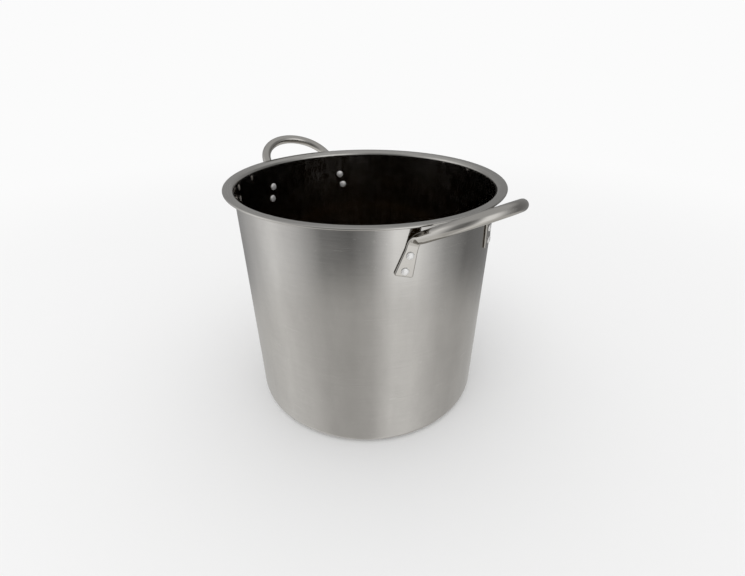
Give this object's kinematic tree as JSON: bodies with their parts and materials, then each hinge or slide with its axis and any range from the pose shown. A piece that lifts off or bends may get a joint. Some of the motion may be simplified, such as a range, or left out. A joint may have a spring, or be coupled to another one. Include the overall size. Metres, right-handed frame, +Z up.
{
  "type": "brew kettle",
  "caption": "Tall straight-sided steel kettle with a flat folded rim and two riveted tubular loop handles, open at the top, for boiling wort over a burner.",
  "frame": {"origin": "centre of the underside of the base, on the floor", "axes": "+Z up through the open mouth; +X and -X run through the middles of the two handles"},
  "size_m": [0.41, 0.3228, 0.301],
  "materials": {
    "body_steel": "polished sheet steel, finely scratched",
    "handle_steel": "polished tube",
    "rivet_steel": "satin domed heads"
  },
  "bodies": {
    "root": {"kettle_body": "body_steel", "handle_front": "handle_steel", "handle_rear": "handle_steel", "rivet_front_left_upper": "rivet_steel", "rivet_front_left_lower": "rivet_steel", "rivet_front_right_upper": "rivet_steel", "rivet_front_right_lower": "rivet_steel", "rivet_rear_left_upper": "rivet_steel", "rivet_rear_left_lower": "rivet_steel", "rivet_rear_right_upper": "rivet_steel", "rivet_rear_right_lower": "rivet_steel"}
  },
  "joints": []
}
